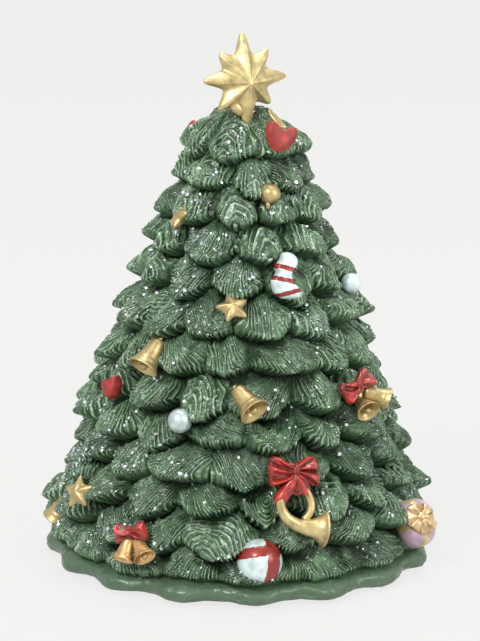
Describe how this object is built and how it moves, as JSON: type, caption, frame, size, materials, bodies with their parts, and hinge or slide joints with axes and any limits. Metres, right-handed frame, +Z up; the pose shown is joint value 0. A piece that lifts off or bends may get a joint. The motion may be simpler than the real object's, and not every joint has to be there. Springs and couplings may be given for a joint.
{
  "type": "christmas tree music box",
  "caption": "Cast resin Christmas tree with rows of drooping tufts, glued-on ornaments and a star, standing on its own rim, with a wind-up comb and drum movement in its hollow base.",
  "frame": {"origin": "centre of the base, on the surface that the tree stands on", "axes": "+Z up through the star; -Y is the front that the picture shows; +X is to the right as seen from the front"},
  "size_m": [0.1182, 0.1208, 0.1621],
  "materials": {
    "green_paint": "hand-painted metallic green over a dark wash on cast resin, glitter dusted",
    "gold_paint": "brushed-on gold paint on cast resin",
    "red_paint": "metallic red paint on cast resin",
    "white_paint": "pearl white paint with red bands on cast resin",
    "pink_paint": "pearl pink paint on cast resin",
    "felt": "felt",
    "black_plastic": "moulded",
    "steel": "bright",
    "brass": "bright",
    "zinc": "die-cast, matt; the weight stands for zinc alloy"
  },
  "bodies": {
    "tree": {"tree_casting": "green_paint", "star_topper": "gold_paint", "bauble_gold": "gold_paint", "bauble_back": "gold_paint", "star_centre": "gold_paint", "star_low_left": "gold_paint", "star_upper_left": "gold_paint", "bell_left": "gold_paint", "bell_centre": "gold_paint", "bell_far_left": "gold_paint", "bell_back": "gold_paint", "bell_back_low": "gold_paint", "bells_left": "gold_paint", "bells_right": "gold_paint", "horn": "gold_paint", "parcel_bow": "gold_paint", "heart_front": "red_paint", "heart_left": "red_paint", "heart_low_left": "red_paint", "heart_back": "red_paint", "bow_left": "red_paint", "bow_right": "red_paint", "horn_bow": "red_paint", "stocking_front": "white_paint", "stocking_back": "white_paint", "bauble_white": "white_paint", "bauble_silver": "white_paint", "bauble_striped": "white_paint", "parcel": "pink_paint", "felt_ring": "felt", "bottom_cover": "black_plastic", "cover_screw_1": "steel", "cover_screw_2": "steel", "cover_screw_3": "steel", "movement_screw_1": "steel", "movement_screw_2": "steel", "movement_screw_3": "steel", "comb": "steel", "comb_screw_1": "steel", "comb_screw_2": "steel", "click": "steel", "click_rivet": "steel", "bedplate": "zinc", "barrel_bridge": "zinc", "drum_bearing": "zinc", "governor_frame": "zinc"},
    "barrel": {"spring_barrel": "brass", "barrel_lid": "brass", "mainspring": "steel"},
    "key": {"winding_key": "brass", "winding_arbor": "steel", "ratchet_wheel": "steel"},
    "drum": {"drum": "brass", "drum_arbor": "steel", "drum_pinion": "brass", "drum_gear": "brass"},
    "governor": {"governor_arbor": "steel", "governor_wheel": "brass"},
    "fly": {"worm_shaft": "steel", "fly_blades": "black_plastic"}
  },
  "joints": [
    {"name": "drum_spin", "type": "hinge", "parent": "tree", "child": "drum", "pos_m": [0, 0.005, 0.02626], "axis": [1, 0, 0], "continuous": true},
    {"name": "barrel_spin", "type": "hinge", "parent": "tree", "child": "barrel", "pos_m": [-0.014, 0.005, 0.024], "axis": [0, 0, 1], "continuous": true},
    {"name": "governor_spin", "type": "hinge", "parent": "tree", "child": "governor", "pos_m": [0.02277, -0.00295, 0.02626], "axis": [1, 0, 0], "continuous": true},
    {"name": "fly_spin", "type": "hinge", "parent": "tree", "child": "fly", "pos_m": [0.02277, -0.00875, 0.02626], "axis": [0, 0, 1], "continuous": true},
    {"name": "key_turn", "type": "hinge", "parent": "tree", "child": "key", "pos_m": [-0.014, 0.005, 0.01], "axis": [0, 0, 1], "continuous": true}
  ],
  "couplings": [
    {"joint": "barrel_spin", "follows": "drum_spin", "ratio": 0.25},
    {"joint": "governor_spin", "follows": "drum_spin", "ratio": -4},
    {"joint": "fly_spin", "follows": "drum_spin", "ratio": -40}
  ]
}
